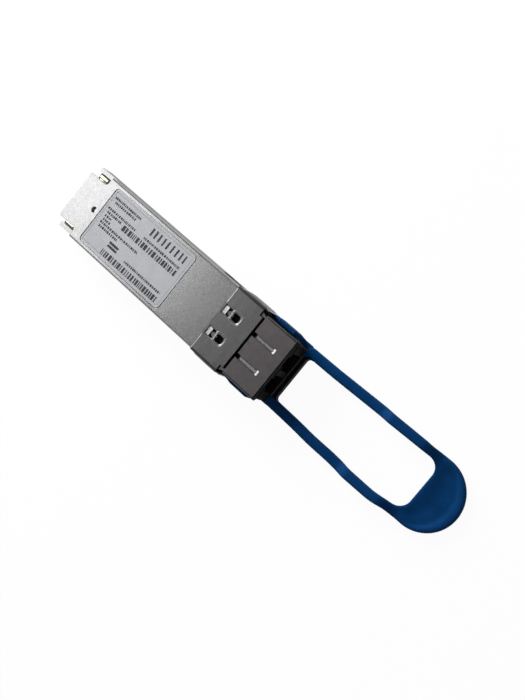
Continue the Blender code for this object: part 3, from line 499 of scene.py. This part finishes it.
shape = bmesh.new()
add_block(shape, (label_low + label_high) / 2, label_high - label_low)
bmesh.ops.bevel(shape, geom=upright_edges(shape), offset=LABEL_CORNER,
                segments=6, profile=0.5, affect="EDGES", material=-1)
round_edges(shape, LABEL_EDGE, lambda at: at.z > label_high.z - TOUCH)
field = [max(shape.faces, key=lambda face: face.calc_area() * face.normal.z)]
bmesh.ops.inset_region(shape, faces=field, thickness=BORDER_INSET)
line = bmesh.ops.inset_region(shape, faces=field, thickness=BORDER_DEPTH, depth=-BORDER_DEPTH)["faces"]
line += bmesh.ops.inset_region(shape, faces=field, thickness=BORDER_WIDTH)["faces"]
line += bmesh.ops.inset_region(shape, faces=field, thickness=BORDER_DEPTH, depth=BORDER_DEPTH)["faces"]
# Painted shade: the pressed border line takes the darker finish.
for ring in line:
    ring.material_index = 1
add_piece("label_film", shape, [film, border], "module", ["label_plate"])


def print_bar(shape, x, length, y, height):
    """One printed bar, placed from the label's rear end and its long middle line."""
    middle = Vector((label_low.x + x + length / 2, y, label_high.z + INK_THICKNESS / 2))
    add_block(shape, middle, Vector((length, height, INK_THICKNESS)))


def print_row(shape, draw, row, height, widths, gaps):
    """A row of bars of mixed widths, with no meaning."""
    x, end, y = row
    while x < end:
        length = draw.uniform(*widths)
        print_bar(shape, x, min(length, end - x), y, height)
        x += length + draw.uniform(*gaps)


draw = random.Random(PRINT_SEED)
shape = bmesh.new()
for row in TICK_ROWS:
    print_row(shape, draw, row, TICK_HEIGHT, TICK_WIDTHS, TICK_GAPS)
for row in STRIPE_ROWS:
    print_row(shape, draw, row, STRIPE_HEIGHT, STRIPE_WIDTHS, STRIPE_GAPS)
print_row(shape, draw, BLOCK_ROW, BLOCK_HEIGHT, BLOCK_WIDTHS, BLOCK_GAPS)
for y in PLAIN_ROWS:
    print_bar(shape, PLAIN_START, PLAIN_LENGTH, y, TICK_HEIGHT)
add_piece("label_print", shape, [ink], "module")

# Latch slider: a black coated steel frame that runs in the sides of the housing and joins below the port.
# Each arm ends in a release wedge, and the front of the frame bends down and lies a little askew.
# Two small coil springs draw the slider back into the housing.
SLIDER_EDGE = 0.00008
ARM_BEND = 0.0329
ARM_LOW = 0.0347
ARM_DROP = 0.0009
ARM_REACH = 0.0087
FLATTEN = 0.2
FRAME_TOP = 0.0018
FRAME_SWAY = 0.00045
FRAME_REACH = 0.0084
ARM_INSET = 0.0008
black_coat = surface("black_coating", (0.0052, 0.0052, 0.0060), (0.0080, 0.0080, 0.0092),
                     patch=0.0015, rough=(0.45, 0.6), grain=0.0002, depth=0.000006,
                     Specular_IOR_Level=0.04)
shape = whole_copy("latch_slider")
for station in (ARM_BEND, ARM_LOW):
    cut_across(shape, (station, 0, 0), (1, 0, 0), base_low.x)
for vertex in shape.verts:
    if vertex.co.x > ARM_LOW - TOUCH and vertex.co.z > FRAME_TOP + TOUCH:
        vertex.co.z = FRAME_TOP - ARM_DROP + FLATTEN * (vertex.co.z - FRAME_TOP)
        vertex.co.y = math.copysign(min(abs(vertex.co.y), ARM_REACH), vertex.co.y)
    sway_start = port_high.x if vertex.co.y > 0 else ARM_LOW - TOUCH
    if vertex.co.x > port_high.x:
        vertex.co.y = max(vertex.co.y, -FRAME_REACH)
    if vertex.co.x > sway_start and vertex.co.y < base_high.y - ARM_INSET:
        vertex.co.y += FRAME_SWAY
round_edges(shape, SLIDER_EDGE, lambda at: at.x > port_high.x)
add_piece("slider_frame", shape, [black_coat], "slider", ["latch_slider"])
for side in ("left", "right"):
    node = "return_spring_" + side
    spring_low, spring_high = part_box(node)
    seat = (spring_low + spring_high) / 2
    seat.x = spring_high.x
    coil = add_piece("return_coil_" + side, whole_copy(node), [can_steel], "module", [node])
    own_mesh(coil)

# Shield collar: a band of plated spring steel folded round the waist of the housing, with painted shade
# along its bends.
# Each channel has a catch window with a bent tongue, and a drawn eyelet with a raised lip.
# The lip, the step at the window and the rear flare take the lighter cast finish, as painted highlight.
# Slit fingers bow out of both sides to touch the cage.
COLLAR_EDGE = 0.00006
BEND = 0.0007
FIBRE = 0.003125
EYELET_MIDDLE = 0.0208
EYELET_HALF = Vector((0.0011, 0.00095))
LIP = ((0.00060, 0.0), (0.00054, 0.00008), (0.00048, 0.000085), (0.00005, 0.0), (0.00001, -0.00006),
       (-0.00002, -0.00060))
LIP_SIDES = 36
STEP_LENGTH = 0.00046
STEP_HALF = 0.00112
STEP_RISE = 0.00009
WINDOW_FRONT = 0.0191
TONGUE_HALF = Vector((0.00085, 0.00062))
TONGUE_SIDES = 32
TONGUE_SHEET = 0.0002
TONGUE_DROP = 0.0002
FLARE_LENGTH = 0.0003
FLARE_RISE = 0.00006
FLARE_SPAN = (0.0046, 0.0088)
FINGERS = 5
FINGER_STEPS = (14, 2)
FINGER_LENGTH = 0.0074
FINGER_HEIGHT = 0.0012
FINGER_PITCH = 0.00148
FINGER_BOW = 0.00004
FINGER_SHEET = 0.00012
sheet_metal = surface("plated_sheet", (0.205, 0.205, 0.205), (0.255, 0.255, 0.255),
                      patch=0.0016, rough=(0.26, 0.34), grain=0.0003, depth=0.000003, stretch=(1, 5, 1),
                      Metallic=1.0)
# A darker copy of the sheet: painted shade along the bends.
bend_shade_sheet = surface("painted_bend_shade", (0.06, 0.06, 0.06), (0.09, 0.09, 0.09),
                     patch=0.0016, rough=(0.42, 0.5), grain=0.0003, depth=0.000003, Metallic=1.0)


def squarish(value, power=0.5):
    """Push a circle's coordinate outwards, so that the circle becomes a round-cornered square."""
    return math.copysign(abs(value) ** power, value)


def slant(shape, low, high, fall):
    """A low block whose top falls towards the card end, so that it catches the light from there."""
    for vertex in bmesh.ops.create_cube(shape, size=1.0)["verts"]:
        rear, above = vertex.co.x < 0, vertex.co.z > 0
        vertex.co = Vector((low.x if rear else high.x, low.y if vertex.co.y < 0 else high.y,
                            high.z - (fall if rear else 0) if above else low.z))


def round_bar(shape, sides):
    """A round bar along Z whose radius and length are 1, to be scaled."""
    made = bmesh.ops.create_cone(shape, cap_ends=True, segments=sides, radius1=1.0, radius2=1.0, depth=1.0)
    return made["verts"]


def eyelet_lip(shape, middle):
    """A drawn lip round an eyelet: a round-cornered square drawn in rings, from outside the hole into it."""
    ring = bmesh.ops.create_circle(shape, segments=LIP_SIDES, radius=1.0)["verts"]
    edges = list({edge for vertex in ring for edge in vertex.link_edges})
    lip = list(ring)
    for vertex in ring:
        vertex.co = Vector((squarish(vertex.co.x), squarish(vertex.co.y), 0.0))
    last = Vector((1.0, 1.0))
    for index, (offset, rise) in enumerate(LIP):
        if index > 0:
            drawn = bmesh.ops.extrude_edge_only(shape, edges=edges)["geom"]
            ring = [item for item in drawn if isinstance(item, bmesh.types.BMVert)]
            edges = [item for item in drawn if isinstance(item, bmesh.types.BMEdge)]
            edges = [edge for edge in edges if edge.verts[0] in ring and edge.verts[1] in ring]
            lip += ring
        reach = EYELET_HALF + Vector((offset, offset))
        for vertex in ring:
            vertex.co = Vector((vertex.co.x * reach.x / last.x, vertex.co.y * reach.y / last.y, rise))
        last = reach
    bmesh.ops.translate(shape, verts=lip, vec=middle)


shape = whole_copy("emi_collar")
top = collar_high.z
round_edges(shape, COLLAR_EDGE, lambda at: at.z > top - TOUCH or abs(at.y) > collar_high.y - TOUCH)
# Painted shade along the top bends of the collar.
coat(shape, 1, lambda at: abs(at.y) > collar_high.y - BEND and at.z > top - BEND)
for side in (1, -1):
    y = side * FIBRE
    eyelet_lip(shape, Vector((EYELET_MIDDLE, y, top)))
    slant(shape, Vector((WINDOW_FRONT, y - STEP_HALF, top - TONGUE_SHEET)),
          Vector((WINDOW_FRONT + STEP_LENGTH, y + STEP_HALF, top + STEP_RISE)), STEP_RISE)
    tongue = round_bar(shape, TONGUE_SIDES)
    bmesh.ops.scale(shape, verts=tongue, vec=(TONGUE_HALF.x, TONGUE_HALF.y, TONGUE_SHEET))
    bmesh.ops.translate(shape, verts=tongue, vec=(WINDOW_FRONT, y, top - TONGUE_DROP))
    inner, outer = sorted(side * reach for reach in FLARE_SPAN)
    slant(shape, Vector((collar_low.x, inner, top - TONGUE_SHEET)),
          Vector((collar_low.x + FLARE_LENGTH, outer, top + FLARE_RISE)), FLARE_RISE)
    for index in range(FINGERS):
        finger = bmesh.ops.create_grid(shape, x_segments=FINGER_STEPS[0], y_segments=FINGER_STEPS[1],
                                       size=0.5)["verts"]
        middle = (collar_low + collar_high) / 2
        middle.z += (index - (FINGERS - 1) / 2) * FINGER_PITCH
        for vertex in finger:
            along, across = vertex.co.x, vertex.co.y
            bow = FINGER_BOW * max(0.0, math.cos(math.pi * along))
            vertex.co = Vector((middle.x + along * FINGER_LENGTH,
                                side * (collar_high.y + FINGER_SHEET + bow),
                                middle.z + across * FINGER_HEIGHT))
        faces = list({face for vertex in finger for face in vertex.link_faces})
        bmesh.ops.solidify(shape, geom=faces, thickness=FINGER_SHEET * side)
# Painted highlight: the raised lips, steps and flares take the lighter cast finish.
coat(shape, 2, lambda at: at.z > top + TOUCH)
finishes = [sheet_metal, bend_shade_sheet, cast_metal]
add_piece("shield_collar", shape, finishes, "module", ["emi_collar"])

# Nose cover: a satin metal plate between the nose walls, with two ears that reach back under the collar.
# A T-shaped groove is pressed in over each bay.
# A rounded strip lies in each groove and ends in a slanted cross bar.
# The strip takes the bright steel finish and the bar the lighter cast finish, as painted highlight.
NOSE_EDGE = 0.0001
GROOVE_HALF = 0.000375
GROOVE_OPEN = 0.00058
STRIP_START = 0.0279
STRIP_END = 0.03300
STRIP_HALF = Vector((0.00042, 0.00026))
STRIP_SIDES = 28
CROSS_START = 0.03296
CROSS_END = 0.03358
CROSS_HALF = 0.00062
CROSS_FALL = 0.00011
EAR_GAP = 0.00015
PROUD = 0.00003
satin_metal = surface("satin_nose_metal", (0.19, 0.172, 0.177), (0.235, 0.217, 0.222),
                      patch=0.0013, rough=(0.28, 0.38), grain=0.0003, depth=0.000006, Metallic=1.0)
shape = whole_copy("nose_cover")
for vertex in shape.verts:
    off = abs(vertex.co.y) - FIBRE
    if abs(abs(off) - GROOVE_HALF) < TOUCH:
        vertex.co.y = math.copysign(FIBRE + math.copysign(GROOVE_OPEN, off), vertex.co.y)
    if vertex.co.x < gap_front + TOUCH and nose_high.y - SKIN < abs(vertex.co.y) < nose_high.y - TOUCH:
        vertex.co.y = math.copysign(port_high.y, vertex.co.y)
    if vertex.co.x < nose_low.x + TOUCH:
        vertex.co.x += EAR_GAP
round_edges(shape, NOSE_EDGE, lambda at: at.z > nose_high.z - TOUCH)
add_piece("nose_plate", shape, [satin_metal], "module", ["nose_cover"])

# Painted highlight: the strips take the bright steel finish.
shape = bmesh.new()
for y in (FIBRE, -FIBRE):
    strip = round_bar(shape, STRIP_SIDES)
    middle = Vector(((STRIP_START + STRIP_END) / 2, y, nose_high.z + PROUD - STRIP_HALF.y))
    bmesh.ops.rotate(shape, verts=strip, matrix=Matrix.Rotation(math.pi / 2, 3, "Y"))
    bmesh.ops.scale(shape, verts=strip, vec=(STRIP_END - STRIP_START, STRIP_HALF.x, STRIP_HALF.y))
    bmesh.ops.translate(shape, verts=strip, vec=middle)
    slant(shape, Vector((CROSS_START, y - CROSS_HALF, nose_high.z - SKIN)),
          Vector((CROSS_END, y + CROSS_HALF, nose_high.z + PROUD)), CROSS_FALL)
# Painted highlight: the cross bars take the lighter cast finish.
coat(shape, 1, lambda at: at.x > STRIP_END
     or (at.x > CROSS_START - TOUCH and abs(abs(at.y) - FIBRE) > STRIP_HALF.x))
add_piece("groove_strips", shape, [can_steel, cast_metal], "module")

# Pull tab: one soft blue moulding with two arms, a dished round pad and a boot over each slider arm.
# It is moulded onto the slider, so it rides with it, and being soft it lies a little askew.
# The arms rise over a low hump before the pad, and the pad has a raised rim at its far end.
ARM_START = 0.0369
ARM_FREE = 0.03935
LOOP_FRONT = 0.0772
LOOP_CORNER = 0.0030
LOOP_HALF = (0.00615, 0.0066)
ARM_HALF = (0.00865, 0.00892)
PAD_RADIUS = 0.0088
ARM_BASE = 0.0006
ARM_THICKNESS = 0.0016
ARM_ROUND = 0.00055
ARM_SQUARE = 0.7
FLAT_SHARE = 0.35
CROWN = 0.00008
HUMP = 0.0014
HUMP_START = 0.0597
HUMP_END = 0.0716
RISE_LENGTH = 0.0034
FALL_LENGTH = 0.0058
PAD_DROP = 0.00052
DISH = 0.00045
DISH_GROWS = (0.70, 0.82)
DISH_INSIDE = (0.0, 0.45)
DISH_RIM = (0.75, 0.855)
ROOT_SWAY = 0.00057
PAD_SWAY = 0.00072
SWAY_START = 0.046
SIDE_BOWS = ((0.00026, 0.045, 0.052), (0.0002, 0.0565, 0.062))
BOW_END = (0.069, 0.0745)
ARM_SHARE = 0.62
ROWS = 150
AROUND = 44
BOOT_START = 0.0261
BOOT_END = 0.0386
BOOT_LOW = 0.0349
BOOT_HALF = (0.00845, 0.00968)
BOOT_THIN = 0.00872
BOOT_HEIGHTS = (0.0013, 0.0049)
BOOT_FOOT = (0.0008, 0.00175)
BOOT_SQUARE = 0.3
BOOT_ROWS = 60
BOOT_FILL = 2.15
HEEL = 0.0022
HEEL_DROP = 0.0006
HEEL_TUCK = 0.0002
ROOT_START = 0.0363
ROOT_END = 0.0383
elastomer = surface("blue_elastomer", (0.0024, 0.0325, 0.112), (0.0032, 0.042, 0.142),
                    patch=0.004, rough=(0.44, 0.54), grain=0.00025, depth=0.000006,
                    Specular_IOR_Level=0.03)
tab_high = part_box("pull_tab")[1]
PAD_CENTRE = tab_high.x - PAD_RADIUS
TURN = LOOP_FRONT - LOOP_CORNER


def mixed(value, start, end, first, last):
    """From first to last as value goes from start to end, and level outside."""
    share = min(max((value - start) / (end - start), 0.0), 1.0)
    return first + (last - first) * share


def eased(value, start, end):
    """0 before start, 1 after end and a smooth rise between."""
    share = mixed(value, start, end, 0.0, 1.0)
    return share * share * (3 - 2 * share)


def tab_lift(x):
    """Height of the moulding over its rear end: up over the hump and down to the pad."""
    rise = eased(x, HUMP_START, HUMP_START + RISE_LENGTH)
    fall = eased(x, HUMP_END, HUMP_END + FALL_LENGTH)
    return HUMP * rise - (HUMP + PAD_DROP) * fall


def tab_sway(x, y):
    """How far the soft moulding lies to one side, more towards the pad, with one arm bowed out.

    The boot that sways away from the nose swells inwards, so that no gap opens between them.
    """
    root = eased(x, ARM_BEND, BOOT_LOW)
    if y > 0:
        inside = mixed(y, BOOT_HALF[0], BOOT_THIN, 1.0, 0.0)
        root -= BOOT_FILL * inside * (root - eased(x, ROOT_START, ROOT_END))
    sway = ROOT_SWAY * root + mixed(x, SWAY_START, PAD_CENTRE, 0.0, PAD_SWAY)
    if y < 0:
        bow = sum(reach * eased(x, start, end) for reach, start, end in SIDE_BOWS)
        sway -= bow * (1 - eased(x, *BOW_END))
    return sway


def loop_line(share):
    """The inner edge round the loop's front corner and on to the middle plane."""
    corner = math.pi / 2 * LOOP_CORNER
    straight = LOOP_HALF[1] - LOOP_CORNER
    run = share * (corner + straight)
    if run < corner:
        turn = run / LOOP_CORNER
        return Vector((TURN + LOOP_CORNER * math.sin(turn), straight + LOOP_CORNER * math.cos(turn)))
    return Vector((LOOP_FRONT, straight - (run - corner)))


def rim_line(share):
    """The outer edge along the end of the arm and round the pad to its tip."""
    lead = PAD_CENTRE - TURN
    run = share * (lead + math.pi / 2 * PAD_RADIUS)
    if run < lead:
        return Vector((TURN + run, PAD_RADIUS))
    turn = (run - lead) / PAD_RADIUS
    return Vector((PAD_CENTRE + PAD_RADIUS * math.sin(turn), PAD_RADIUS * math.cos(turn)))


def tab_edges(share):
    """Inner and outer edge points of one cross-section, from the arm's root in its boot to the pad's tip."""
    if share > ARM_SHARE:
        around = (share - ARM_SHARE) / (1 - ARM_SHARE)
        return loop_line(around), rim_line(around)
    x = ARM_START + (TURN - ARM_START) * share / ARM_SHARE
    inner = mixed(x, ARM_FREE, HUMP_END, *LOOP_HALF)
    outer = mixed(x, ARM_FREE, HUMP_START, *ARM_HALF)
    outer += (PAD_RADIUS - ARM_HALF[1]) * eased(x, HUMP_END, TURN)
    return Vector((x, inner)), Vector((x, outer))


def arm_section(turn, width):
    """A point of the cross-section: its distance from the inner edge and from mid-thickness.

    turn goes once round, from 0 to 1: over the top, round the outer edge, back below and round the inner.
    """
    if turn >= 0.5:
        across, up = arm_section(turn - 0.5, width)
        return width - across, -up
    half = ARM_THICKNESS / 2
    if turn < FLAT_SHARE:
        return ARM_ROUND + (width - 2 * ARM_ROUND) * turn / FLAT_SHARE, half
    angle = math.pi * (0.5 - (turn - FLAT_SHARE) / (0.5 - FLAT_SHARE))
    across = width - ARM_ROUND + ARM_ROUND * squarish(math.cos(angle), ARM_SQUARE)
    return across, half * squarish(math.sin(angle), ARM_SQUARE)


shape = bmesh.new()
bmesh.ops.create_grid(shape, x_segments=ROWS, y_segments=AROUND, size=0.5)
for vertex in shape.verts:
    share, turn = vertex.co.x + 0.5, vertex.co.y + 0.5
    inner, outer = tab_edges(share)
    width = (outer - inner).length
    across, up = arm_section(turn, width)
    part = across / width
    place = inner + (outer - inner) * part
    if up > 0:
        pad = eased(share, *DISH_GROWS)
        hollow = eased(part, *DISH_INSIDE) * (1 - eased(part, *DISH_RIM))
        up += CROWN * (1 - pad) * (1 - (2 * part - 1) ** 2) - DISH * pad * hollow
    vertex.co = Vector((place.x, place.y, ARM_BASE + ARM_THICKNESS / 2 + up + tab_lift(place.x)))
bmesh.ops.remove_doubles(shape, verts=shape.verts, dist=MERGE)
rear_edges = [edge for edge in shape.edges if edge.is_boundary and edge.verts[0].co.x < ARM_FREE]
bmesh.ops.holes_fill(shape, edges=rear_edges)

boot = bmesh.ops.create_grid(shape, x_segments=BOOT_ROWS, y_segments=AROUND, size=0.5)["verts"]
for vertex in boot:
    x = BOOT_START + (BOOT_END - BOOT_START) * (vertex.co.x + 0.5)
    angle = math.tau * (vertex.co.y + 0.5)
    heel = 1 - eased(x, BOOT_START, BOOT_START + HEEL)
    fall = eased(x, ARM_BEND, BOOT_LOW)
    inside = BOOT_HALF[0] - ARM_ROUND * eased(x, ARM_START, ROOT_END)
    outside = BOOT_HALF[1] + (BOOT_THIN - BOOT_HALF[1]) * fall - HEEL_TUCK * heel
    outside -= ARM_ROUND / 2 * eased(x, ARM_START, BOOT_END)
    low = BOOT_HEIGHTS[0] + (BOOT_FOOT[0] - BOOT_HEIGHTS[0]) * fall
    high = BOOT_HEIGHTS[1] + (BOOT_FOOT[1] - BOOT_HEIGHTS[1]) * fall - HEEL_DROP * heel
    vertex.co = Vector((x, (inside + outside) / 2 + (outside - inside) / 2 * squarish(math.cos(angle)),
                        (low + high) / 2 + (high - low) / 2 * squarish(math.sin(angle), BOOT_SQUARE)))
bmesh.ops.remove_doubles(shape, verts=boot, dist=MERGE)
boot_ends = [edge for edge in shape.edges if edge.is_boundary and edge.verts[0].co.x < BOOT_END + TOUCH]
bmesh.ops.holes_fill(shape, edges=boot_ends)
whole = shape.verts[:] + shape.edges[:] + shape.faces[:]
bmesh.ops.mirror(shape, geom=whole, axis="Y", merge_dist=2 * TOUCH)
bmesh.ops.recalc_face_normals(shape, faces=shape.faces)
for vertex in shape.verts:
    vertex.co.y += tab_sway(vertex.co.x, vertex.co.y)
add_piece("soft_pull_tab", shape, [elastomer], "slider", ["pull_tab"])
